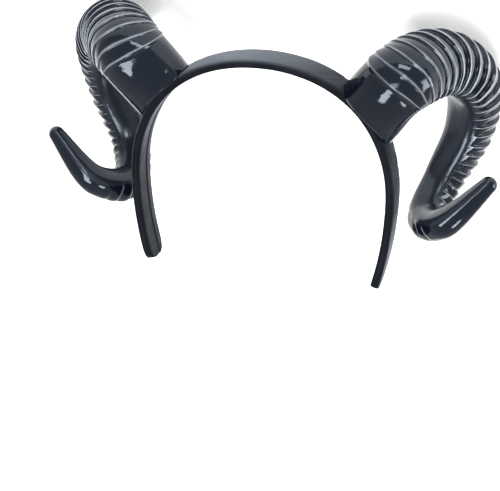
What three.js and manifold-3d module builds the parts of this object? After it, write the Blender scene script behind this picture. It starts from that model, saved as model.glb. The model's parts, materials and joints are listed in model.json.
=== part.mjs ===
// Ram horns headband: a cloth-covered hoop with a curled, ribbed horn standing on each side of it.
// Sizes are in millimetres and angles in degrees.
// The pieces are drawn as the headband is worn: X across the head, Y towards its back and Z up,
// from the centre of the hoop's round top. At the end it is laid on the backs of its horns.
import * as THREE from 'three';
import Module from 'manifold-3d';
import { mergeVertices } from 'three/addons/utils/BufferGeometryUtils.js';

// Hoop
const HOOP_RADIUS = 76;          // outer face, at the top and at the sides
const HOOP_SHOULDER = 2;         // how far it stands outside a circle between them
const HOOP_THICKNESS = 4.8;
const HOOP_WIDTH = 20;           // front edge to back edge
const HOOP_EDGE_ROUNDING = 1.8;
const LEG_LENGTH = 56;           // each end below the round top
const LEG_BEND_RADIUS = 210;     // the legs close in on the head with this wider bend
const LEG_END_ROUNDING = 9;      // length of the rounded end of a leg
const LEG_END_WIDTH = 9.3;       // across the very end, where the rounding stops
const TOP_STEPS = 33;            // odd, so that a flat facet lies in the middle of the top
const LEG_STEPS = 6;
const CORNER_STEPS = 2;          // facets round each long edge of the hoop

// Horn
const FOOT_ANGLE = 50;           // from the top of the hoop down to the middle of a foot
const FOOT_LENGTH = 42;          // along the hoop
const FOOT_SETBACK = 2;          // of the foot's middle behind the middle of the hoop
const HORN_WIDTH = 38;           // greatest width, across the curl
const HORN_REACH = 69;           // sideways, from the foot's middle to the tip
const HORN_SETBACK = 45;         // from the foot back to the rearmost point of the centreline
const HORN_HEIGHT = 97;          // from the lowest to the highest point of the centreline
const INNER_FLATNESS = 0.88;     // depth of the inner side of a section against its outer side
const INNER_SQUARENESS = 0.7;    // below 1, the inner side is flatter and its corners fuller
const TIP_ROUNDING = 4;          // length of the blunt end
const TIP_FLAT = 0.3;            // size of the last ring against the one before it
const HORN_SIDES = 20;
const SMOOTH_STEPS = 3;          // rings along the smooth foot
const TIP_STEPS = 3;             // rings round the blunt end
const SEAT_GAP = 0.3;            // between a foot and the hoop that it is glued on

// Ribs
const RIB_HEIGHT = 2;
const FIRST_RIB = 3;             // length of the rib nearest the foot
const WIDEST_RIB = 7.6;          // of the longest and highest rib
const LAST_RIB = 5.8;            // and of the one nearest the tip
const WIDEST_AT = 56;            // length along the horn at which the ribs are longest
const RIB_START = 26;            // smooth length above the foot
const RIB_END = 42;              // smooth length before the tip
const RIB_FADE = 20;             // length over which the height dies at the end
const RIB_REACH = 80;            // angle from the outermost line at which a rib starts to fade
const RIB_RUNOUT = 136;          // angle at which it is gone
const LEAN_SIDEWAYS = 3;         // how far one side of a rib runs ahead of its middle, where it leans most
const LEAN_BACK = 2;             // how far its outermost line lags there
const LEAN_FULL = 50;            // length along the horn at which the ribs lean most
const LEAN_END = 115;            // and from which they stand straight

// One rib from its notch to the next: a steep lip on the side of the foot, then a long round fall.
// The columns are shares of the pitch and of the height.
const RIB_ROWS = [
  { along: 0.00, height: 0.00 },
  { along: 0.13, height: 0.88 },
  { along: 0.38, height: 1.00 },
  { along: 0.74, height: 0.62 },
];

// Centreline and girth of a horn, from the foot to the tip. The places are shares of the reach, the
// setback and the height. The half widths are shares of half the horn's width, across the curl,
// and of half the foot's length, towards the middle of the curl.
const HORN_ROWS = [
  { out: 0.00, back: 0.00, up: 0.00, wide: 0.89, deep: 1.00 },
  { out: 0.26, back: -0.11, up: 0.24, wide: 1.00, deep: 0.91 },
  { out: 0.50, back: 0.37, up: 0.25, wide: 0.91, deep: 0.81 },
  { out: 0.70, back: 0.81, up: 0.07, wide: 0.78, deep: 0.72 },
  { out: 0.68, back: 1.00, up: -0.24, wide: 0.66, deep: 0.64 },
  { out: 0.51, back: 0.90, up: -0.55, wide: 0.54, deep: 0.56 },
  { out: 0.42, back: 0.43, up: -0.71, wide: 0.47, deep: 0.49 },
  { out: 0.62, back: -0.02, up: -0.64, wide: 0.42, deep: 0.43 },
  { out: 1.00, back: 0.02, up: -0.34, wide: 0.22, deep: 0.24 },
];
// Middle of the curl, which the smooth inner side of the horn faces, in the same shares
const CURL_MIDDLE = { out: 0.31, back: 0.24, up: -0.25 };

const CLOTH = { color: 0x17181b, roughness: 0.7 };
const GLOSS_PLASTIC = { color: 0x08090c, roughness: 0.2 };

// The search for the turn at which the headband lies still
const FIRST_TURN = 90;
const TURN_STEPS = [2, 0.1, 0.005];   // each round searches round the best turn so far
const STEPS_EACH_WAY = 20;

const SAME_POINT = 1e-4;         // corners closer than this are one
const wasm = await Module();
wasm.setup();

const radians = THREE.MathUtils.degToRad;
const smooth = THREE.MathUtils.smoothstep;
const { lerp } = THREE.MathUtils;

// A closed solid through rings of points, with a fan at each end. Between two rings each four
// corners are split along the shorter diagonal.
function loft(rings) {
  const sides = rings[0].length;
  const middle = (ring) => {
    const sum = new THREE.Vector3();
    ring.forEach((p) => sum.add(p));
    return sum.divideScalar(sides);
  };
  const first = rings.length * sides;
  const last = first + 1;
  const points = [...rings.flat(), middle(rings[0]), middle(rings.at(-1))];
  const faces = [];
  for (let side = 0; side < sides; side++) {
    const next = (side + 1) % sides;
    for (let ring = 0; ring + 1 < rings.length; ring++) {
      const [a, b] = [ring * sides + side, ring * sides + next];
      const [c, d] = [b + sides, a + sides];
      const split = points[a].distanceTo(points[c]) < points[b].distanceTo(points[d]) + SAME_POINT;
      faces.push(...(split ? [a, b, c, a, c, d] : [a, b, d, b, c, d]));
    }
    const end = (rings.length - 1) * sides;
    faces.push(first, next, side, last, end + side, end + next);
  }
  const numbers = points.flatMap((p) => p.toArray());
  const geometry = new THREE.BufferGeometry();
  geometry.setAttribute('position', new THREE.Float32BufferAttribute(numbers, 3));
  geometry.setIndex(faces);
  return geometry;
}

function toSolid(geometry) {
  const bare = geometry.clone();
  bare.deleteAttribute('normal');
  bare.deleteAttribute('uv');
  const merged = mergeVertices(bare, SAME_POINT);
  return new wasm.Manifold(new wasm.Mesh({
    numProp: 3,
    vertProperties: new Float32Array(merged.attributes.position.array),
    triVerts: new Uint32Array(merged.index.array),
  }));
}

function fromSolid(solid) {
  const mesh = solid.getMesh();
  const geometry = new THREE.BufferGeometry();
  geometry.setAttribute('position', new THREE.BufferAttribute(mesh.vertProperties, 3));
  geometry.setIndex(new THREE.BufferAttribute(mesh.triVerts, 1));
  return geometry;
}

// Radius of the hoop's outer face at an angle from its top
function hoopRadius(turn) {
  return HOOP_RADIUS + HOOP_SHOULDER * Math.sin(2 * turn) ** 2;
}

// Stations of the hoop's outer face, from one end over the top to the other: the point, the
// direction away from the head, and the length left to the nearest end
function hoopStations() {
  const stations = [];
  const legTurn = LEG_LENGTH / LEG_BEND_RADIUS;
  for (let step = -LEG_STEPS; step < 0; step++) {
    const turn = (-step / LEG_STEPS) * legTurn;
    const bendMiddle = HOOP_RADIUS - LEG_BEND_RADIUS;
    stations.push({
      x: bendMiddle + LEG_BEND_RADIUS * Math.cos(turn),
      z: -LEG_BEND_RADIUS * Math.sin(turn),
      turn: Math.PI / 2 + turn,
      left: LEG_LENGTH * (1 + step / LEG_STEPS),
    });
  }
  for (let step = 0; step <= TOP_STEPS; step++) {
    const turn = Math.PI * (0.5 - step / TOP_STEPS);
    stations.push({
      x: hoopRadius(turn) * Math.sin(turn),
      z: hoopRadius(turn) * Math.cos(turn),
      turn,
      left: LEG_LENGTH,
    });
  }
  const otherLeg = stations.slice(0, LEG_STEPS).reverse();
  stations.push(...otherLeg.map((s) => ({ ...s, x: -s.x, turn: -s.turn })));
  return stations;
}

// Half of the hoop's width at a length from its end, where the end is rounded
function hoopHalfWidth(left) {
  const narrowing = Math.max(0, 1 - left / LEG_END_ROUNDING);
  return (LEG_END_WIDTH + (HOOP_WIDTH - LEG_END_WIDTH) * Math.sqrt(1 - narrowing ** 2)) / 2;
}

// The section of the hoop is a flat oblong with rounded long edges
function hoopSection(station) {
  const outward = new THREE.Vector3(Math.sin(station.turn), 0, Math.cos(station.turn));
  const half = { y: hoopHalfWidth(station.left), depth: HOOP_THICKNESS / 2 };
  const middle = new THREE.Vector3(station.x, 0, station.z).addScaledVector(outward, -half.depth);
  const ring = [];
  for (let corner = 0; corner < 4; corner++) {
    for (let step = 0; step <= CORNER_STEPS; step++) {
      const angle = (Math.PI / 2) * (corner + step / CORNER_STEPS);
      const signY = corner === 0 || corner === 3 ? 1 : -1;
      const signDepth = corner < 2 ? 1 : -1;
      const y = signY * (half.y - HOOP_EDGE_ROUNDING) + HOOP_EDGE_ROUNDING * Math.cos(angle);
      const depth = signDepth * (half.depth - HOOP_EDGE_ROUNDING) + HOOP_EDGE_ROUNDING * Math.sin(angle);
      ring.push(middle.clone().addScaledVector(outward, depth).setY(y));
    }
  }
  return ring.reverse();
}

function hoopGeometry() {
  return loft(hoopStations().map(hoopSection));
}

// What a foot is cut by: the space inside the hoop's outer face, with the gap of the glued seat
function seatTool() {
  const grown = hoopStations().map((s) => new THREE.Vector2(
    s.x + SEAT_GAP * Math.sin(s.turn),
    s.z + SEAT_GAP * Math.cos(s.turn),
  ));
  const depth = 2 * HORN_WIDTH;
  const tool = new THREE.ExtrudeGeometry(new THREE.Shape(grown), { depth, bevelEnabled: false });
  return tool.rotateX(Math.PI / 2).translate(0, depth / 2, 0);
}

function hornPoint({ out, back, up }) {
  const foot = radians(FOOT_ANGLE);
  return new THREE.Vector3(
    hoopRadius(foot) * Math.sin(foot) + out * HORN_REACH,
    FOOT_SETBACK + back * HORN_SETBACK,
    hoopRadius(foot) * Math.cos(foot) + up * HORN_HEIGHT,
  );
}

// Length of a rib that starts at a length along the horn
function ribLength(start, ribsEnd) {
  if (start < WIDEST_AT) return lerp(FIRST_RIB, WIDEST_RIB, smooth(start, RIB_START, WIDEST_AT));
  return lerp(WIDEST_RIB, LAST_RIB, (start - WIDEST_AT) / (ribsEnd - WIDEST_AT));
}

// Lengths along the horn at which it has a ring, each with its share of the rib height and the
// share of the girth that the blunt end leaves
function hornRings(length) {
  const rings = [];
  for (let step = 0; step < SMOOTH_STEPS; step++) {
    rings.push({ at: (step / SMOOTH_STEPS) * RIB_START, rib: 0, girth: 1 });
  }
  const ribsEnd = length - RIB_END;
  let start = RIB_START;
  while (start < ribsEnd) {
    const long = ribLength(start, ribsEnd);
    for (const { along, height } of RIB_ROWS) {
      const at = start + along * long;
      const grown = (long / WIDEST_RIB) * smooth(ribsEnd - at, 0, RIB_FADE);
      rings.push({ at, rib: grown * height, girth: 1 });
    }
    start += long;
  }
  const ribbed = rings.at(-1).at;
  const blunt = length - TIP_ROUNDING;
  const plainSteps = Math.max(1, Math.round((blunt - ribbed) / LAST_RIB));
  for (let step = 1; step <= plainSteps; step++) {
    rings.push({ at: ribbed + (step / plainSteps) * (blunt - ribbed), rib: 0, girth: 1 });
  }
  for (let step = 1; step <= TIP_STEPS; step++) {
    const turn = (step / (TIP_STEPS + 1)) * (Math.PI / 2);
    rings.push({ at: blunt + TIP_ROUNDING * Math.sin(turn), rib: 0, girth: Math.cos(turn) });
  }
  return rings;
}

// How far ahead of its ring a point lies, because the ribs lean
function lean(at, angle) {
  const share = smooth(at, 0, LEAN_FULL) * (1 - smooth(at, LEAN_FULL, LEAN_END));
  return share * (LEAN_SIDEWAYS * Math.sin(radians(angle)) - LEAN_BACK * Math.cos(radians(angle)));
}

// A sine or cosine bent towards a squarer outline by a power below 1
function squared(share, power) {
  return Math.sign(share) * Math.abs(share) ** power;
}

// One horn, with ribs over its outer side and flanks and a smooth inner side
function hornGeometry() {
  const path = new THREE.CatmullRomCurve3(HORN_ROWS.map(hornPoint));
  const girths = new THREE.CatmullRomCurve3(HORN_ROWS.map(
    ({ wide, deep }) => new THREE.Vector3(wide * HORN_WIDTH / 2, deep * FOOT_LENGTH / 2, 0),
  ));
  const middle = hornPoint(CURL_MIDDLE);
  const length = path.getLength();
  const section = ({ at, rib, girth }) => {
    const ring = [];
    for (let side = 0; side < HORN_SIDES; side++) {
      const angle = (360 * side) / HORN_SIDES;
      const t = path.getUtoTmapping((at + lean(at, angle)) / length);
      const along = path.getTangent(t);
      const outward = path.getPoint(t).sub(middle);
      outward.addScaledVector(along, -outward.dot(along)).normalize();
      const sideways = along.clone().cross(outward);
      const half = girths.getPoint(t);
      const fromOuter = Math.min(angle, 360 - angle);
      const inner = fromOuter > 90;
      const power = inner ? INNER_SQUARENESS : 1;
      const cos = Math.cos(radians(angle));
      const sin = Math.sin(radians(angle));
      const raised = RIB_HEIGHT * rib * (1 - smooth(fromOuter, RIB_REACH, RIB_RUNOUT));
      const deep = half.y * (inner ? INNER_FLATNESS : 1);
      const rim = path.getPoint(t);
      rim.addScaledVector(outward, squared(cos, power) * deep * girth + raised * cos);
      rim.addScaledVector(sideways, squared(sin, power) * half.x * girth + raised * sin);
      ring.push(rim);
    }
    return ring;
  };
  const rings = hornRings(length).map(section);
  // The foot starts inside the hoop's outer face, so that the seat cuts all of its end
  const start = path.getTangent(0).multiplyScalar(-FOOT_LENGTH / 2);
  rings.unshift(rings[0].map((p) => p.clone().add(start)));
  const tip = path.getPoint(1);
  rings.push(rings.at(-1).map((p) => tip.clone().lerp(p, TIP_FLAT)));
  return fromSolid(toSolid(loft(rings)).subtract(toSolid(seatTool())));
}

// The same solid on the other side of the head
function mirrored(geometry) {
  const copy = geometry.clone();
  copy.scale(-1, 1, 1);
  const index = copy.index.array;
  for (let corner = 0; corner < index.length; corner += 3) {
    [index[corner], index[corner + 1]] = [index[corner + 1], index[corner]];
  }
  return copy;
}

function piece(name, geometry, material) {
  geometry.computeVertexNormals();
  const mesh = new THREE.Mesh(geometry, new THREE.MeshStandardMaterial({ ...material, metalness: 0 }));
  mesh.name = name;
  return mesh;
}

// Middle of mass of all the pieces together, from the tetrahedra between their faces and the origin
function middleOfMass(meshes) {
  const sum = new THREE.Vector3();
  let volume = 0;
  for (const { geometry } of meshes) {
    const { position } = geometry.attributes;
    const { array } = geometry.index;
    const corner = (i) => new THREE.Vector3().fromBufferAttribute(position, array[i]);
    for (let i = 0; i < array.length; i += 3) {
      const [a, b, c] = [corner(i), corner(i + 1), corner(i + 2)];
      const share = a.dot(b.clone().cross(c)) / 6;
      volume += share;
      sum.addScaledVector(a.add(b).add(c), share / 4);
    }
  }
  return sum.divideScalar(volume);
}

// Height of a point after turning the headband back by an angle
function turnedHeight(y, z, turn) {
  return z * Math.cos(radians(turn)) - y * Math.sin(radians(turn));
}

function lowest(meshes, turn) {
  let low = Infinity;
  for (const { geometry } of meshes) {
    const { array } = geometry.attributes.position;
    for (let i = 0; i < array.length; i += 3) {
      low = Math.min(low, turnedHeight(array[i + 1], array[i + 2], turn));
    }
  }
  return low;
}

// How far back the headband rolls by itself: until its middle of mass is as low as it goes
function restingTurn(meshes) {
  const { y, z } = middleOfMass(meshes);
  const height = (turn) => turnedHeight(y, z, turn) - lowest(meshes, turn);
  let best = FIRST_TURN;
  for (const step of TURN_STEPS) {
    const around = best;
    for (let count = -STEPS_EACH_WAY; count <= STEPS_EACH_WAY; count++) {
      const turn = around + count * step;
      if (height(turn) < height(best)) best = turn;
    }
  }
  return best;
}

const horn = hornGeometry();
const pieces = [
  piece('hair_band', hoopGeometry(), CLOTH),
  piece('horn_right', horn, GLOSS_PLASTIC),
  piece('horn_left', mirrored(horn), GLOSS_PLASTIC),
];

const headband = new THREE.Group();
headband.add(...pieces);

// Laid down: turned back on its horns, lifted onto the floor and centred front to back
const turn = restingTurn(pieces);
headband.rotation.x = -radians(turn);
headband.position.z = -lowest(pieces, turn);
headband.updateMatrixWorld(true);
const box = new THREE.Box3().setFromObject(headband, true);
headband.position.y = -(box.min.y + box.max.y) / 2;

export default headband;
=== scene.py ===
import json
import math

import bpy
import numpy as np
from mathutils import Matrix, Vector, noise


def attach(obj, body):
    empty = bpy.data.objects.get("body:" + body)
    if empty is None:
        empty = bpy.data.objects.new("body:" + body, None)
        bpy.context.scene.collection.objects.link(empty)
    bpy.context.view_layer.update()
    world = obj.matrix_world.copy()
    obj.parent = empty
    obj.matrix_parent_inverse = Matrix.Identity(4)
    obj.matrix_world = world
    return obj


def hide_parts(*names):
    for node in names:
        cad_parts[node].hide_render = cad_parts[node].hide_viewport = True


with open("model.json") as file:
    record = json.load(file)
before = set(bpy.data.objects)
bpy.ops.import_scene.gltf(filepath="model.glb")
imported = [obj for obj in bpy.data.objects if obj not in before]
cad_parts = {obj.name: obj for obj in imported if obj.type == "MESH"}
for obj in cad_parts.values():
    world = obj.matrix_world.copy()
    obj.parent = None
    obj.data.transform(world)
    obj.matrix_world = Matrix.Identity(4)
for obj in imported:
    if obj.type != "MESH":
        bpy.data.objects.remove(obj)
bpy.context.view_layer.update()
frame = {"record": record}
print("frame loaded")

# Metres and degrees. The headband lies on the backs of its horns. Its pieces are shaped as it is worn, from
# the middle of the hoop's round top: x across the hoop, y to the back, z up. layDown then lays them down.


# Mesh tools
def smoothStep(value, low, high):
    share = np.clip((np.asarray(value, float) - low) / (high - low), 0, 1)
    return share * share * (3 - 2 * share)


# A closed tube with straight rings, which placeRings then moves to where the piece has them
def ringTube(name, ringCount, sideCount):
    bpy.ops.object.select_all(action="DESELECT")
    bpy.ops.mesh.primitive_circle_add(vertices=sideCount, radius=1, location=(0, 0, 0))
    tube = bpy.context.object
    tube.name = name
    bpy.ops.object.mode_set(mode="EDIT")
    bpy.ops.mesh.primitive_circle_add(vertices=sideCount, radius=1, location=(0, 0, ringCount - 1))
    bpy.ops.mesh.select_mode(type="EDGE")
    bpy.ops.mesh.select_all(action="SELECT")
    bpy.ops.mesh.bridge_edge_loops(number_cuts=ringCount - 2, interpolation="LINEAR")
    bpy.ops.mesh.select_all(action="SELECT")
    bpy.ops.mesh.fill_holes(sides=0)
    bpy.ops.object.mode_set(mode="OBJECT")
    return tube


# Ring and side of every vertex, read from its place in the straight tube
def ringAndSide(tube, sideCount):
    places = np.empty(len(tube.data.vertices) * 3)
    tube.data.vertices.foreach_get("co", places)
    places = places.reshape(-1, 3)
    rings = np.rint(places[:, 2]).astype(int)
    turns = np.arctan2(places[:, 1], places[:, 0]) / (2 * math.pi)
    return rings, np.rint(turns * sideCount).astype(int) % sideCount


def placeRings(tube, rings, sides, points):
    tube.data.vertices.foreach_set("co", points[rings, sides].ravel())
    tube.data.update()


def addMask(tube, name, values):
    mask = tube.data.attributes.new(name, "FLOAT", "POINT")
    mask.data.foreach_set("value", np.asarray(values, np.float32))


def finishPiece(piece, node, material):
    piece.data.transform(layDown)
    bpy.ops.object.select_all(action="DESELECT")
    piece.select_set(True)
    bpy.context.view_layer.objects.active = piece
    bpy.ops.object.mode_set(mode="EDIT")
    bpy.ops.mesh.select_all(action="SELECT")
    bpy.ops.mesh.normals_make_consistent(inside=False)
    bpy.ops.object.mode_set(mode="OBJECT")
    bpy.ops.object.shade_smooth()
    piece.data.materials.clear()
    piece.data.materials.append(material)
    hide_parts(node)
    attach(piece, "root")
    print(piece.name, "done,", len(piece.data.polygons), "faces")


# Shader tools
# Each input of a node takes a value, or the output of another node
def feed(node, inputs):
    for key, source in inputs.items():
        if isinstance(source, bpy.types.NodeSocket):
            node.id_data.links.new(source, node.inputs[key])
        else:
            node.inputs[key].default_value = source


def addNode(tree, kind, inputs, **settings):
    node = tree.nodes.new("ShaderNode" + kind)
    for name, value in settings.items():
        setattr(node, name, value)
    feed(node, inputs)
    return node


def addMath(tree, operation, *sources):
    return addNode(tree, "Math", dict(enumerate(sources)), operation=operation).outputs["Value"]


def readMask(tree, name):
    return addNode(tree, "Attribute", {}, attribute_name=name).outputs["Fac"]


# Inputs 6 and 7 and output 2 of a Mix node are its colour ones
def mixColors(tree, mask, first, second):
    return addNode(tree, "Mix", {0: mask, 6: first, 7: second}, data_type="RGBA").outputs[2]


def newMaterial(name):
    material = bpy.data.materials.new(name)
    material.use_nodes = True
    return material, material.node_tree, material.node_tree.nodes["Principled BSDF"]


def placeGroup(tree, group, inputs):
    return addNode(tree, "Group", inputs, node_tree=group).outputs[0]


# A node group that turns a place and some values into one value
def newGroup(name, values, resultName):
    group = bpy.data.node_groups.new(name, "ShaderNodeTree")
    group.interface.new_socket("Vector", in_out="INPUT", socket_type="NodeSocketVector")
    for valueName, value in values.items():
        socket = group.interface.new_socket(valueName, in_out="INPUT", socket_type="NodeSocketFloat")
        socket.default_value = value
    group.interface.new_socket(resultName, in_out="OUTPUT", socket_type="NodeSocketFloat")
    return group, group.nodes.new("NodeGroupInput").outputs, group.nodes.new("NodeGroupOutput")


# Smudges and dust from handling: a value between Low and High that drifts over the surface
def handlingMarksGroup():
    group, given, result = newGroup("handlingMarks", {"Scale": 60, "Low": 0.2, "High": 0.4}, "Value")
    clouds = addNode(group, "TexNoise", {
        "Vector": given["Vector"], "Scale": given["Scale"], "Detail": 6, "Roughness": 0.65,
    })
    spread = addNode(group, "MapRange", {
        "Value": clouds.outputs["Fac"], "From Min": 0.35, "From Max": 0.68,
        "To Min": given["Low"], "To Max": given["High"],
    })
    feed(result, {"Value": spread.outputs["Result"]})
    return group


# Height of a surface that isn't quite even: broad waves with a finer grain on them
def unevenReliefGroup():
    group, given, result = newGroup(
        "unevenRelief", {"Broad Scale": 100, "Fine Scale": 900, "Fine Share": 0.1}, "Height")
    place = given["Vector"]
    broad = addNode(group, "TexNoise", {"Vector": place, "Scale": given["Broad Scale"], "Detail": 2})
    fine = addNode(group, "TexNoise", {"Vector": place, "Scale": given["Fine Scale"], "Detail": 3})
    height = addMath(group, "MULTIPLY_ADD", fine.outputs["Fac"], given["Fine Share"], broad.outputs["Fac"])
    feed(result, {"Height": height})
    return group


handlingMarks = handlingMarksGroup()
unevenRelief = unevenReliefGroup()
print("shader groups built")


# Hair band: satin drawn over a springy hoop
band = {
    "radius": 0.076,            # outer face, at the top and at the sides
    "shoulder": 0.002,          # how far it stands outside a circle between them
    "thickness": 0.0048,
    "width": 0.020,
    "edge": 0.0018,             # rounding of the long edges
    "crown": 0.0003,            # how much the faces bulge
    "legLength": 0.056,
    "legBend": 0.210,           # radius of each leg's inward bend
    "endRounding": 0.009,
    "endWidth": 0.0093,
    "topFacets": 33,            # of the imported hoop, whose middle facet carries the crown mount

    "rings": 300,
    "endRings": [0.15, 0.6],    # sizes of the small rings that close each end, as shares of the section
    "cornerSteps": 4,
    "faceSteps": 10,

    "seamAt": 0.0018,           # from the middle of the inner face, where the cloth overlaps itself
    "seamStep": 0.0004,
    "seamWidth": 0.0004,
    "slack": 0.00012,           # unevenness of the cloth
    "slackAlong": 55,           # how fast it changes, and where its noise is cut
    "slackAcross": 25,
    "slackSlice": 3,
    "outerFrom": -0.0005,       # out from the middle of the thickness, where the creases start and are full
    "outerTo": 0.0015,
    # Creases across the outer face: where they cross the middle, as a share of the length from the top to
    # an end, how far they lean, and their depth
    "creaseWidth": 0.0009,
    "creases": [
        {"side": 1, "along": 0.215, "lean": 0.9, "depth": 0.00035},
        {"side": 1, "along": 0.245, "lean": 0.7, "depth": 0.00022},
        {"side": 1, "along": 0.575, "lean": -0.8, "depth": 0.00030},
        {"side": 1, "along": 0.610, "lean": -0.5, "depth": 0.00038},
        {"side": 1, "along": 0.645, "lean": -0.7, "depth": 0.00020},
        {"side": -1, "along": 0.190, "lean": -0.8, "depth": 0.00024},
        {"side": -1, "along": 0.600, "lean": 0.6, "depth": 0.00032},
        {"side": -1, "along": 0.660, "lean": 0.9, "depth": 0.00022},
    ],

    "clothWidth": 0.05,         # of the cloth's UV map, round the section
    "deepBlack": (0.0015, 0.002, 0.003, 1),
    "softBlack": (0.003, 0.004, 0.006, 1),
    "paintedSheenColor": (0.062, 0.072, 0.088, 1),    # painted sheen: the satin is painted paler near the top of the outer face, where the light falls
    "paintedSheenMiddle": -0.020,      # along the hoop from its top
    "paintedSheenReach": 0.085,
    "paintedSheenEnd": 0.02,           # share of the painted sheen that is left beyond that reach
    "crownGloss": 0.2,
    "weftShare": 0.35,          # of the threads across, against those along the band
    "coatRoughness": 0.45,
    "shine": 0.04,
    "shineColor": (0.78, 0.87, 1.0, 1),
    "sheen": 0.18,
    "sheenRoughness": 0.3,
    "sheenColor": (0.72, 0.84, 1.0, 1),
}


# Radius of the hoop's outer face at an angle from its top
def hoopRadius(turn):
    return band["radius"] + band["shoulder"] * np.sin(2 * turn) ** 2


crownMount = frame["record"]["mounts"][0]
wornAcross = Vector((1, 0, 0))
wornUp = -Vector(crownMount["axis"]).normalized()
wornBack = wornUp.cross(wornAcross)
halfFacet = math.pi / band["topFacets"] / 2
crownHeight = (hoopRadius(halfFacet) - band["thickness"]) * math.cos(halfFacet)
hoopMiddle = Vector(crownMount["pos_m"]) - wornUp * crownHeight
layDown = Matrix.Translation(hoopMiddle) @ Matrix((wornAcross, wornBack, wornUp)).transposed().to_4x4()


# Black satin: a fine weave with its threads along the band, with a painted sheen that makes the top of the
# outer face paler where the light falls, and a coat that makes it shinier there
def bandSatin():
    material, tree, shader = newMaterial("bandSatin")
    place = addNode(tree, "TexCoord", {}).outputs["Object"]
    cloth = addNode(tree, "UVMap", {}, uv_map="bandCloth").outputs["UV"]
    along = addNode(tree, "SeparateXYZ", {"Vector": cloth}).outputs["X"]

    marks = placeGroup(tree, handlingMarks, {"Vector": place, "Scale": 90, "Low": 0.42, "High": 0.60})
    tint = placeGroup(tree, handlingMarks, {"Vector": place, "Scale": 35, "Low": 0.0, "High": 1.0})
    black = mixColors(tree, tint, band["deepBlack"], band["softBlack"])

    # Painted sheen: the outer face is painted paler near the top of the hoop, where the light falls. The
    # same mask adds a coat there.
    fromMiddle = addMath(tree, "ABSOLUTE", addMath(tree, "ADD", along, -band["paintedSheenMiddle"]))
    nearTop = addNode(tree, "MapRange", {
        "Value": fromMiddle, "From Min": 0.0, "From Max": band["paintedSheenReach"],
        "To Min": 1.0, "To Max": band["paintedSheenEnd"],
    }, interpolation_type="SMOOTHSTEP")
    paintedSheenAndGloss = addMath(tree, "MULTIPLY", nearTop.outputs["Result"], readMask(tree, "outerFace"))

    warp = addNode(tree, "TexWave", {"Vector": cloth, "Scale": 640}, bands_direction="Y")
    weft = addNode(tree, "TexWave", {"Vector": cloth, "Scale": 420}, bands_direction="X")
    weave = addMath(tree, "MULTIPLY_ADD", weft.outputs["Fac"], band["weftShare"], warp.outputs["Fac"])
    threads = addNode(tree, "Bump", {"Height": weave, "Strength": 0.35, "Distance": 0.00006})
    relief = placeGroup(tree, unevenRelief, {
        "Vector": place, "Broad Scale": 120, "Fine Scale": 900, "Fine Share": 0.08,
    })
    folds = addNode(tree, "Bump", {
        "Height": relief, "Strength": 0.4, "Distance": 0.0005, "Normal": threads.outputs["Normal"],
    })

    feed(shader, {
        # the base colour carries the painted sheen near the top of the outer face
        "Base Color": mixColors(tree, paintedSheenAndGloss, black, band["paintedSheenColor"]),
        "Roughness": marks,
        "Normal": folds.outputs["Normal"],
        "Coat Weight": addMath(tree, "MULTIPLY", paintedSheenAndGloss, band["crownGloss"]),
        "Coat Roughness": band["coatRoughness"],
        "Specular IOR Level": band["shine"],
        "Specular Tint": band["shineColor"],
        "Sheen Weight": band["sheen"],
        "Sheen Roughness": band["sheenRoughness"],
        "Sheen Tint": band["sheenColor"],
    })
    return material


# Outer face of the hoop at a length from the top: the place, the way outwards, and the length to the end
def bandStation(length):
    quarter = band["radius"] * math.pi / 2
    sign = math.copysign(1, length)
    top = min(abs(length), quarter)
    turn = top / band["radius"]
    x, z = hoopRadius(turn) * math.sin(turn), hoopRadius(turn) * math.cos(turn)
    past = abs(length) - top
    bend = past / band["legBend"]
    x += band["legBend"] * (math.cos(bend) - 1)
    z -= band["legBend"] * math.sin(bend)
    turn += bend
    place = Vector((sign * x, 0, z))
    outward = Vector((sign * math.sin(turn), 0, math.cos(turn)))
    return place, outward, band["legLength"] - past


# Section of the band: where each point lies between the long edges and on which face, and its place on the
# rounding of the nearest edge
def bandSides():
    sides = []
    flat = band["width"] / 2 - band["edge"]
    seam = [band["seamAt"] / flat, (band["seamAt"] + band["seamWidth"]) / flat]
    for corner, (across, face) in enumerate(((1, 1), (-1, 1), (-1, -1), (1, -1))):
        for step in range(band["cornerSteps"] + 1):
            angle = math.pi / 2 * (corner + step / band["cornerSteps"])
            sides.append({"across": across, "face": face, "edge": (math.cos(angle), math.sin(angle))})
        if across == face:
            places = [across * (1 - 2 * step / band["faceSteps"]) for step in range(1, band["faceSteps"])]
            if face < 0:
                places = sorted(places + seam)
            sides += [{"across": place, "face": face, "edge": (0, face)} for place in places]
    return sides


# Place of a section's point across the band and out from the middle of its thickness
def acrossAndOut(side, left, ringShare):
    narrowing = max(0, 1 - left / band["endRounding"])
    roundEnd = math.sqrt(max(0, 1 - narrowing ** 2))
    half = (band["endWidth"] + (band["width"] - band["endWidth"]) * roundEnd) / 2
    y = side["across"] * (half - band["edge"]) + side["edge"][0] * band["edge"]
    out = side["face"] * (band["thickness"] / 2 - band["edge"]) + side["edge"][1] * band["edge"]
    return y * ringShare, out * ringShare


def creaseDepth(length, y):
    depth = 0
    for crease in band["creases"]:
        middle = crease["side"] * crease["along"] * (band["radius"] * math.pi / 2 + band["legLength"])
        off = length - middle - crease["lean"] * y
        depth += crease["depth"] * math.exp(-(off / band["creaseWidth"]) ** 2)
    return depth


# How far the cloth stands out from an even face: its bulge, slack and creases, and the seam's step
def clothRelief(length, y, out, face):
    outer = smoothStep(out, band["outerFrom"], band["outerTo"])
    bulge = band["crown"] * (1 - (2 * y / band["width"]) ** 2) * math.copysign(1, out)
    slackPlace = Vector((length * band["slackAlong"], y * band["slackAcross"], band["slackSlice"] + outer))
    relief = bulge + band["slack"] * noise.noise(slackPlace) - creaseDepth(length, y) * outer
    if face < 0:
        lapped = float(smoothStep(y, band["seamAt"], band["seamAt"] + band["seamWidth"]))
        relief -= band["seamStep"] * lapped
    return relief


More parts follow.
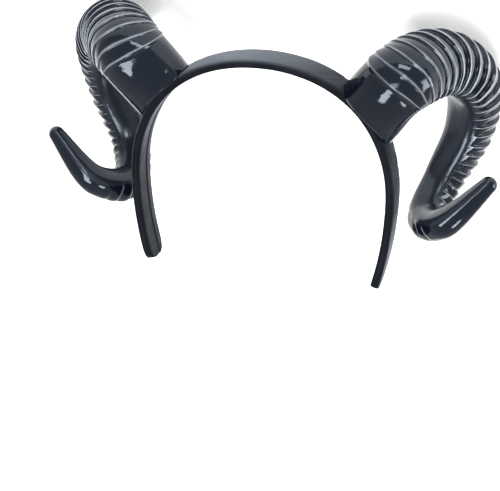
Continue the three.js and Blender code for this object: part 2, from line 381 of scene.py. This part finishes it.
# Points of the band, ring by ring, and their places on the cloth
def bandPoints(sides):
    end = band["radius"] * math.pi / 2 + band["legLength"]
    stations = [(-end, share) for share in band["endRings"]]
    stations += [(length, 1) for length in np.linspace(-end, end, band["rings"])]
    stations += [(end, share) for share in reversed(band["endRings"])]
    points = np.empty((len(stations), len(sides), 3))
    places = np.empty((len(stations), len(sides), 2))
    for ring, (length, share) in enumerate(stations):
        place, outward, left = bandStation(length)
        middle = place - outward * band["thickness"] / 2
        for number, side in enumerate(sides):
            y, out = acrossAndOut(side, left, share)
            out += clothRelief(length, y, out, side["face"]) * share
            point = middle + outward * out
            points[ring, number] = (point.x, y, point.z)
            places[ring, number] = (length, number / len(sides) * band["clothWidth"])
    return points, places


def buildBand(material):
    sides = bandSides()
    points, places = bandPoints(sides)
    tube = ringTube("satin_band", len(points), len(sides))
    rings, numbers = ringAndSide(tube, len(sides))
    placeRings(tube, rings, numbers, points)
    outerFace = np.array([max(0, side["edge"][1]) ** 2 for side in sides])
    addMask(tube, "outerFace", outerFace[numbers])
    cloth = tube.data.uv_layers.new(name="bandCloth")
    corners = np.empty(len(tube.data.loops), int)
    tube.data.loops.foreach_get("vertex_index", corners)
    cloth.data.foreach_set("uv", places[rings[corners], numbers[corners]].ravel())
    finishPiece(tube, "hair_band", material)


# Horns: one is shaped, and the other is its mirrored copy
horn = {
    "footAngle": 50,            # of the middle of the foot, from the hoop's top
    "footLength": 0.042,
    "footSetback": 0.002,
    "width": 0.038,
    "reach": 0.069,
    "setback": 0.045,
    "height": 0.097,
    "innerFlatness": 0.88,
    "innerSquareness": 0.66,
    "tailTwist": 30,            # how far the flat side turns to the front on the tail
    "twistStart": 0.185,
    "twistEnd": 0.215,
    "tipRounding": 0.004,
    # Centreline and girth from the foot to the tip, as shares of the reach, setback and height, of half the
    # width, and of half the foot's length
    "rows": [
        {"out": 0.00, "back": 0.00, "up": 0.00, "wide": 0.89, "deep": 1.00},
        {"out": 0.26, "back": -0.11, "up": 0.24, "wide": 1.00, "deep": 0.91},
        {"out": 0.50, "back": 0.37, "up": 0.25, "wide": 0.91, "deep": 0.81},
        {"out": 0.70, "back": 0.81, "up": 0.07, "wide": 0.78, "deep": 0.72},
        {"out": 0.68, "back": 1.00, "up": -0.24, "wide": 0.66, "deep": 0.64},
        {"out": 0.51, "back": 0.90, "up": -0.55, "wide": 0.54, "deep": 0.56},
        {"out": 0.42, "back": 0.43, "up": -0.71, "wide": 0.47, "deep": 0.49},
        {"out": 0.62, "back": -0.02, "up": -0.64, "wide": 0.42, "deep": 0.43},
        {"out": 1.00, "back": 0.02, "up": -0.34, "wide": 0.19, "deep": 0.21},
    ],
    "curlMiddle": {"out": 0.31, "back": 0.24, "up": -0.25},
    "pathSteps": 1200,
    "sides": 96,

    "seatGap": 0.0003,          # between the foot and the hoop
    "seatSteps": 12,
    "footFace": [0.02, 0.3, 0.6, 0.85],    # sizes of the rings on it, as shares of its rim
    "rimRounding": 0.0006,
    "rimCorner": 0.3,           # how far the rim's middle ring stays from a sharp corner, in roundings
    "footSteps": 16,

    "ribHeight": 0.0019,
    "firstRib": 0.0030,         # length of the rib nearest the foot, of the longest, and of the last one
    "widestRib": 0.0076,
    "lastRib": 0.0058,
    "widestAt": 0.056,
    "ribStart": 0.026,
    "ribEnd": 0.042,            # from the tip
    "ribFade": 0.020,
    "leanSideways": 0.003,
    "leanBack": 0.002,
    "leanFull": 0.050,
    "leanEnd": 0.115,
    # Ribs near the foot are like stacked cups, with a narrow lip and a straight fall. Past the bend they are
    # round lobes. The reach and the runout are the angles from the outermost line at which a rib fades.
    "cup": {"lip": 0.12, "fall": 1.15, "reach": 100, "runout": 146},
    "lobe": {"lip": 0.20, "fall": 1.9, "reach": 80, "runout": 128},
    "lobeFrom": 0.075,          # along the horn, where the cups start to turn into lobes and have done so
    "lobeTo": 0.125,
    # Rings along one rib, as shares of its length, closest together at the lip
    "ribSteps": [
        0, 0.03, 0.06, 0.085, 0.105, 0.12, 0.135, 0.155, 0.18,
        0.20, 0.22, 0.27, 0.38, 0.50, 0.62, 0.74, 0.85, 0.94,
    ],
    "plainSteps": 24,           # rings of the smooth tail, and of its blunt end
    "tipSteps": 10,
    "tipOpening": 0.3,          # how far before a closed point the last ring stops, in steps

    "heightSpread": 0.14,       # how uneven the ribs are
    "spreadScale": 260,         # how fast that changes, and where its noise is cut
    "spreadSlice": 4.2,
    "waver": 0.0006,            # how far a notch wanders along the horn, and how fast
    "waverRound": 1.6,
    "waverAlong": 120,

    "edgeWidth": 0.00020,       # half the width of the painted highlight along each rib's edge
    "lobeEdgeLineCut": 0.55,           # how much fainter the painted highlight is on the lobes' edges
    "smallRibEdgeLinePower": 1.5,        # how much fainter it is on small ribs, as a power
    "edgeLineFrom": 118,            # angles from the outermost line, where the painted highlight fades
    "edgeLineTo": 140,
    "innerFrom": 116,           # and where the inner side gets duller and is painted a paler black
    "innerTo": 128,
    "blueBlack": (0.0016, 0.0028, 0.0062, 1),
    # the inner side is painted a paler black, standing in for the light it catches
    "innerPaintedPaleBlack": (0.008, 0.010, 0.015, 1),
    "notchDust": (0.003, 0.0045, 0.008, 1),
    # painted highlight: colour of the pale line along each rib's edge, standing in for the light the edge
    # catches
    "paintedHighlightColor": (0.60, 0.65, 0.74, 1),
    "innerDullness": 0.12,
    "shine": 0.31,
    "shineColor": (0.79, 0.89, 1.0, 1),
}


# Glossy black moulded plastic, with a little dust in the notches and a duller inner side. A pale line along
# each rib's edge is a painted highlight, and the inner side is painted a paler black, standing in for the
# light it catches
def hornPlastic():
    material, tree, shader = newMaterial("hornPlastic")
    place = addNode(tree, "TexCoord", {}).outputs["Object"]
    inner = readMask(tree, "innerSide")

    # The inner side is painted a paler black, standing in for the light it catches
    plain = mixColors(tree, inner, horn["blueBlack"], horn["innerPaintedPaleBlack"])
    dusty = mixColors(tree, readMask(tree, "crest"), horn["notchDust"], plain)
    # Painted highlight: a pale line along each rib's edge, broken up by noise
    edgeLineBreakup = placeGroup(tree, handlingMarks, {"Vector": place, "Scale": 55, "Low": 0.35, "High": 1.0})
    paintedEdgeLineBroken = addMath(tree, "MULTIPLY", readMask(tree, "paintedEdgeLine"), edgeLineBreakup)

    marks = placeGroup(tree, handlingMarks, {"Vector": place, "Scale": 70, "Low": 0.05, "High": 0.15})
    relief = placeGroup(tree, unevenRelief, {
        "Vector": place, "Broad Scale": 170, "Fine Scale": 900, "Fine Share": 0.10,
    })
    bump = addNode(tree, "Bump", {"Height": relief, "Strength": 0.35, "Distance": 0.0006})

    feed(shader, {
        "Base Color": mixColors(tree, paintedEdgeLineBroken, dusty, horn["paintedHighlightColor"]),
        "Roughness": addMath(tree, "MULTIPLY_ADD", inner, horn["innerDullness"], marks),
        "Normal": bump.outputs["Normal"],
        "Specular IOR Level": horn["shine"],
        "Specular Tint": horn["shineColor"],
    })
    return material


# Places on the smooth curve through the given points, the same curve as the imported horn's
def curveThrough(points, shares):
    points = np.asarray(points, float)
    points = np.vstack([2 * points[0] - points[1], points, 2 * points[-1] - points[-2]])
    gaps = np.sqrt(np.linalg.norm(np.diff(points, axis=0), axis=1))
    place = np.clip(np.asarray(shares, float), 0, 1) * (len(points) - 3)
    start = np.minimum(place.astype(int), len(points) - 4)
    part = (place - start)[:, None]
    a, b, c, d = (points[start + step] for step in range(4))
    before, here, after = (gaps[start + step][:, None] for step in range(3))
    leave = here * ((b - a) / before - (c - a) / (before + here) + (c - b) / here)
    arrive = here * ((c - b) / here - (d - b) / (here + after) + (d - c) / after)
    return (b + leave * part + (3 * (c - b) - 2 * leave - arrive) * part ** 2
            + (2 * (b - c) + leave + arrive) * part ** 3)


def hornPlace(row):
    foot = math.radians(horn["footAngle"])
    return [
        hoopRadius(foot) * math.sin(foot) + row["out"] * horn["reach"],
        horn["footSetback"] + row["back"] * horn["setback"],
        hoopRadius(foot) * math.cos(foot) + row["up"] * horn["height"],
    ]


def hornGirth(row):
    return [row["wide"] * horn["width"] / 2, row["deep"] * horn["footLength"] / 2]


# The horn's centreline at many lengths along it: the places, the directions and the girths
def hornPath():
    shares = np.linspace(0, 1, horn["pathSteps"])
    places = curveThrough([hornPlace(row) for row in horn["rows"]], shares)
    girths = curveThrough([hornGirth(row) for row in horn["rows"]], shares)
    steps = np.linalg.norm(np.diff(places, axis=0), axis=1)
    lengths = np.concatenate([[0], np.cumsum(steps)])
    tangents = np.gradient(places, lengths, axis=0)
    tangents /= np.linalg.norm(tangents, axis=1, keepdims=True)
    return {"lengths": lengths, "places": places, "tangents": tangents, "girths": girths}


def alongPath(path, key, at):
    flat = np.clip(at, 0, path["lengths"][-1]).ravel()
    columns = [np.interp(flat, path["lengths"], column) for column in path[key].T]
    return np.stack(columns, -1).reshape(*np.shape(at), len(columns))


# A rib's lip, fall, reach or runout, by how far it is a lobe already
def ribShape(key, lobe):
    return horn["cup"][key] + (horn["lobe"][key] - horn["cup"][key]) * lobe


def ribHeight(along, lip, fall):
    if along < lip:
        return 1 - (1 - along / lip) ** 2
    return 1 - ((along - lip) / (1 - lip)) ** fall


def ribLength(start, ribsEnd):
    if start < horn["widestAt"]:
        share = float(smoothStep(start, horn["ribStart"], horn["widestAt"]))
        return horn["firstRib"] + (horn["widestRib"] - horn["firstRib"]) * share
    share = (start - horn["widestAt"]) / (ribsEnd - horn["widestAt"])
    return horn["widestRib"] + (horn["lastRib"] - horn["widestRib"]) * share


# Rings from the first rib to the tip: length along the horn, height of the rib and how far it has grown in,
# whether it is still a cup or already a lobe, and the girth that the blunt end leaves
def hornStations(total):
    stations = []
    ribsEnd = total - horn["ribEnd"]
    start = horn["ribStart"]
    while start < ribsEnd:
        long = ribLength(start, ribsEnd)
        heightPlace = Vector((start * horn["spreadScale"], horn["spreadSlice"], 0))
        spread = 1 + horn["heightSpread"] * noise.noise(heightPlace)
        lobe = float(smoothStep(start, horn["lobeFrom"], horn["lobeTo"]))
        lip, fall = ribShape("lip", lobe), ribShape("fall", lobe)
        for along in horn["ribSteps"]:
            at = start + along * long
            grown = long / horn["widestRib"] * float(smoothStep(ribsEnd - at, 0, horn["ribFade"]))
            rib = ribHeight(along, lip, fall) * spread
            # where the painted highlight along the rib's edge lies
            edge = math.exp(-((along - lip) * long / horn["edgeWidth"]) ** 2)
            stations.append({"at": at, "rib": rib, "grown": grown, "lobe": lobe, "edge": edge, "girth": 1})
        start += long
    plain = {"rib": 1, "grown": 0, "lobe": 1, "edge": 0, "girth": 1}
    blunt = total - horn["tipRounding"]
    ribbed = stations[-1]["at"]
    for step in range(1, horn["plainSteps"] + 1):
        stations.append({**plain, "at": ribbed + (blunt - ribbed) * step / horn["plainSteps"]})
    for step in range(1, horn["tipSteps"] + 1):
        turn = step / (horn["tipSteps"] + horn["tipOpening"]) * math.pi / 2
        at = blunt + horn["tipRounding"] * math.sin(turn)
        stations.append({**plain, "at": at, "girth": math.cos(turn)})
    return stations


# How far ahead of its ring a point lies, because the ribs lean
def lean(at, angles):
    share = smoothStep(at, 0, horn["leanFull"]) * (1 - smoothStep(at, horn["leanFull"], horn["leanEnd"]))
    return share * (horn["leanSideways"] * np.sin(angles) - horn["leanBack"] * np.cos(angles))


# How far a notch wanders along the horn, at each length and angle
def notchWaver(lengths, angles):
    waver = np.empty((len(lengths), len(angles)))
    for ring, length in enumerate(lengths):
        for side, angle in enumerate(angles):
            x, y = math.cos(angle) * horn["waverRound"], math.sin(angle) * horn["waverRound"]
            waver[ring, side] = noise.noise(Vector((x, y, length * horn["waverAlong"])))
    return waver * horn["waver"]


# Points of the horn at lengths along it and angles round it, with a rib raised by a height there
def hornSurface(path, at, angles, girth=1, raised=0):
    at, angles = np.broadcast_arrays(at, angles)
    place = alongPath(path, "places", at)
    along = alongPath(path, "tangents", at)
    along /= np.linalg.norm(along, axis=-1, keepdims=True)
    half = alongPath(path, "girths", at)
    outward = place - np.array(hornPlace(horn["curlMiddle"]))
    outward -= along * (outward * along).sum(-1, keepdims=True)
    outward /= np.linalg.norm(outward, axis=-1, keepdims=True)
    sideways = np.cross(along, outward)
    turned = smoothStep(at, horn["twistStart"], horn["twistEnd"])[..., None]
    twist = math.radians(horn["tailTwist"]) * turned
    outward, sideways = (outward * np.cos(twist) + sideways * np.sin(twist),
                         sideways * np.cos(twist) - outward * np.sin(twist))
    cos, sin = np.cos(angles), np.sin(angles)
    power = np.where(cos < 0, horn["innerSquareness"], 1)
    deep = half[..., 1] * np.where(cos < 0, horn["innerFlatness"], 1)
    outBy = np.sign(cos) * np.abs(cos) ** power * deep * girth + raised * cos
    sideBy = np.sign(sin) * np.abs(sin) ** power * half[..., 0] * girth + raised * sin
    return place + outward * outBy[..., None] + sideways * sideBy[..., None]


def onSeat(points):
    reach = np.hypot(points[:, 0], points[:, 2])
    stretch = (hoopRadius(np.arctan2(points[:, 0], points[:, 2])) + horn["seatGap"]) / reach
    return points * np.stack([stretch, np.ones(len(points)), stretch], -1)


# Length along the horn at which each side of the foot meets the hoop's outer face
def seatLengths(start, away):
    lengths = np.zeros(len(start))
    for _ in range(horn["seatSteps"]):
        points = start + away * lengths[:, None]
        seated = onSeat(points)
        missing = ((seated - points) * away).sum(-1)
        lengths += missing / (away * seated).sum(-1) * np.linalg.norm(points, axis=-1)
    return lengths


# The smooth foot: its face on the hoop, a rounded rim, and the rings up to the first rib
def footRings(path, angles):
    start = hornSurface(path, 0, angles)
    ahead = 0.001    # any short length, which gives each side's direction
    away = hornSurface(path, ahead, angles) - start
    away /= np.linalg.norm(away, axis=1, keepdims=True)
    lengths = seatLengths(start, away)
    rim = start + away * lengths[:, None]
    middle = rim.mean(0)
    inset = 1 - 2 * horn["rimRounding"] / horn["footLength"]
    rings = [onSeat(middle + (rim - middle) * share) for share in (*horn["footFace"], inset)]
    corner = horn["rimCorner"]
    rings.append(rim + away * horn["rimRounding"] * corner + (rings[-1] - rim) * corner)
    firstRib = horn["ribStart"] + lean(horn["ribStart"], angles)
    first = lengths + horn["rimRounding"]
    for step in range(horn["footSteps"]):
        at = first + (firstRib - first) * step / horn["footSteps"]
        rings.append(hornSurface(path, np.maximum(at, 0), angles) + away * np.minimum(at, 0)[:, None])
    return np.array(rings)


def column(stations, key):
    return np.array([station[key] for station in stations])[:, None]


# Points of the horn, ring by ring, and its masks
def hornPoints():
    path = hornPath()
    angles = 2 * math.pi * np.arange(horn["sides"]) / horn["sides"]
    fromOuter = np.degrees(np.arccos(np.cos(angles)))[None, :]
    stations = hornStations(path["lengths"][-1])
    at, rib, grown, lobe, edge, girth = (
        column(stations, key) for key in ("at", "rib", "grown", "lobe", "edge", "girth"))
    reach, runout = ribShape("reach", lobe), ribShape("runout", lobe)
    share = grown * (1 - smoothStep((fromOuter - reach) / (runout - reach), 0, 1))
    places = at + lean(at, angles[None, :]) + notchWaver(at[:, 0], angles) * grown
    body = hornSurface(path, places, angles[None, :], girth, horn["ribHeight"] * rib * share)
    foot = footRings(path, angles)
    points = np.concatenate([foot, body])

    innerSide = np.broadcast_to(smoothStep(fromOuter, horn["innerFrom"], horn["innerTo"]), points.shape[:2])
    crest = np.concatenate([np.ones(foot.shape[:2]), 1 - (1 - np.clip(rib, 0, 1)) * share])
    # Painted highlight along each rib's edge, fainter on lobes, on small ribs and towards the inner side
    faded = 1 - smoothStep(fromOuter, horn["edgeLineFrom"], horn["edgeLineTo"])
    paintedEdgeLine = edge * (1 - horn["lobeEdgeLineCut"] * lobe) * grown ** horn["smallRibEdgeLinePower"] * faded
    paintedEdgeLine = np.concatenate([np.zeros(foot.shape[:2]), paintedEdgeLine])
    return points, {"innerSide": innerSide, "crest": crest, "paintedEdgeLine": paintedEdgeLine}


def buildHorns(material):
    points, masks = hornPoints()
    right = ringTube("ribbed_horn_right", len(points), horn["sides"])
    rings, sides = ringAndSide(right, horn["sides"])
    placeRings(right, rings, sides, points)
    for name, values in masks.items():
        addMask(right, name, values[rings, sides])
    left = right.copy()
    left.data = right.data.copy()
    left.name = "ribbed_horn_left"
    left.data.transform(Matrix.Scale(-1, 4, wornAcross))
    bpy.context.scene.collection.objects.link(left)
    finishPiece(right, "horn_right", material)
    finishPiece(left, "horn_left", material)


buildBand(bandSatin())
buildHorns(hornPlastic())


# Studio
studio = {
    "azimuth": 15.4,            # of the camera round the headband as it is worn, from its front
    "elevation": 24.5,
    "roll": 0.4,
    "distance": 0.952,
    "lens": 121.6,
    "sensor": 36,
    "aimRight": -0.0080,        # from the hoop's middle to the middle of the picture
    "aimUp": -0.0355,
    "floorSize": 14,
    "floorColor": (0.92, 0.92, 0.92, 1),
    "floorRoughness": 0.8,
    "worldColor": (1.0, 1.0, 1.0, 1),
    "worldStrength": 0.80,
}

# Soft boxes round the headband: above, beside the camera, low in front, on the right, above the back, and
# above the front
lights = [
    {"name": "topBox", "towards": (-0.20, 0.08, 1.0), "distance": 1.4, "size": (1.25, 0.40), "power": 29},
    {"name": "cameraBox", "towards": (0.30, 0.76, 0.58), "distance": 1.4, "size": (0.22, 0.22), "power": 5},
    {"name": "lowBox", "towards": (0.22, 0.95, 0.13), "distance": 1.3, "size": (0.60, 0.22), "power": 6},
    {"name": "rightBox", "towards": (0.97, -0.02, 0.17), "distance": 1.2, "size": (0.60, 0.40), "power": 10},
    {"name": "backBox", "towards": (0.42, -0.45, 0.79), "distance": 1.4, "size": (0.35, 0.25), "power": 6},
    {"name": "frontBox", "towards": (0.05, 0.50, 0.86), "distance": 1.4, "size": (0.45, 0.30), "power": 4},
]


def buildCamera():
    azimuth, elevation, roll = (math.radians(studio[key]) for key in ("azimuth", "elevation", "roll"))
    turn = layDown.to_3x3()
    back = turn @ Vector((
        math.sin(azimuth) * math.cos(elevation),
        -math.cos(azimuth) * math.cos(elevation),
        math.sin(elevation),
    ))
    level = turn @ Vector((math.cos(azimuth), math.sin(azimuth), 0))
    upright = back.cross(level)
    right = level * math.cos(roll) + upright * math.sin(roll)
    up = upright * math.cos(roll) - level * math.sin(roll)
    place = hoopMiddle + back * studio["distance"]
    aim = hoopMiddle + right * studio["aimRight"] + up * studio["aimUp"]
    towards = (place - aim).normalized()
    side = up.cross(towards).normalized()
    cameraData = bpy.data.cameras.new("photoCamera")
    cameraData.lens = studio["lens"]
    cameraData.sensor_width = studio["sensor"]
    camera = bpy.data.objects.new("photoCamera", cameraData)
    axes = Matrix((side, towards.cross(side), towards)).transposed().to_4x4()
    camera.matrix_world = Matrix.Translation(place) @ axes
    bpy.context.scene.collection.objects.link(camera)
    bpy.context.scene.camera = camera


def buildLights():
    for light in lights:
        data = bpy.data.lights.new(light["name"], "AREA")
        data.shape = "RECTANGLE"
        data.size, data.size_y = light["size"]
        data.energy = light["power"]
        lamp = bpy.data.objects.new(light["name"], data)
        towards = Vector(light["towards"]).normalized()
        lamp.location = hoopMiddle + towards * light["distance"]
        lamp.rotation_euler = towards.to_track_quat("Z", "Y").to_euler()
        bpy.context.scene.collection.objects.link(lamp)


def buildFloor():
    bpy.ops.object.select_all(action="DESELECT")
    bpy.ops.mesh.primitive_plane_add(size=studio["floorSize"], location=(0, 0, 0))
    floor = bpy.context.object
    floor.name = "paleFloor"
    material, tree, shader = newMaterial("paleFloor")
    feed(shader, {"Base Color": studio["floorColor"], "Roughness": studio["floorRoughness"]})
    floor.data.materials.append(material)


def buildWorld():
    world = bpy.data.worlds.new("softStudio")
    world.use_nodes = True
    background = world.node_tree.nodes["Background"]
    feed(background, {"Color": studio["worldColor"], "Strength": studio["worldStrength"]})
    bpy.context.scene.world = world


buildCamera()
buildLights()
buildFloor()
buildWorld()
bpy.context.scene.view_settings.view_transform = "Standard"
print("studio built")
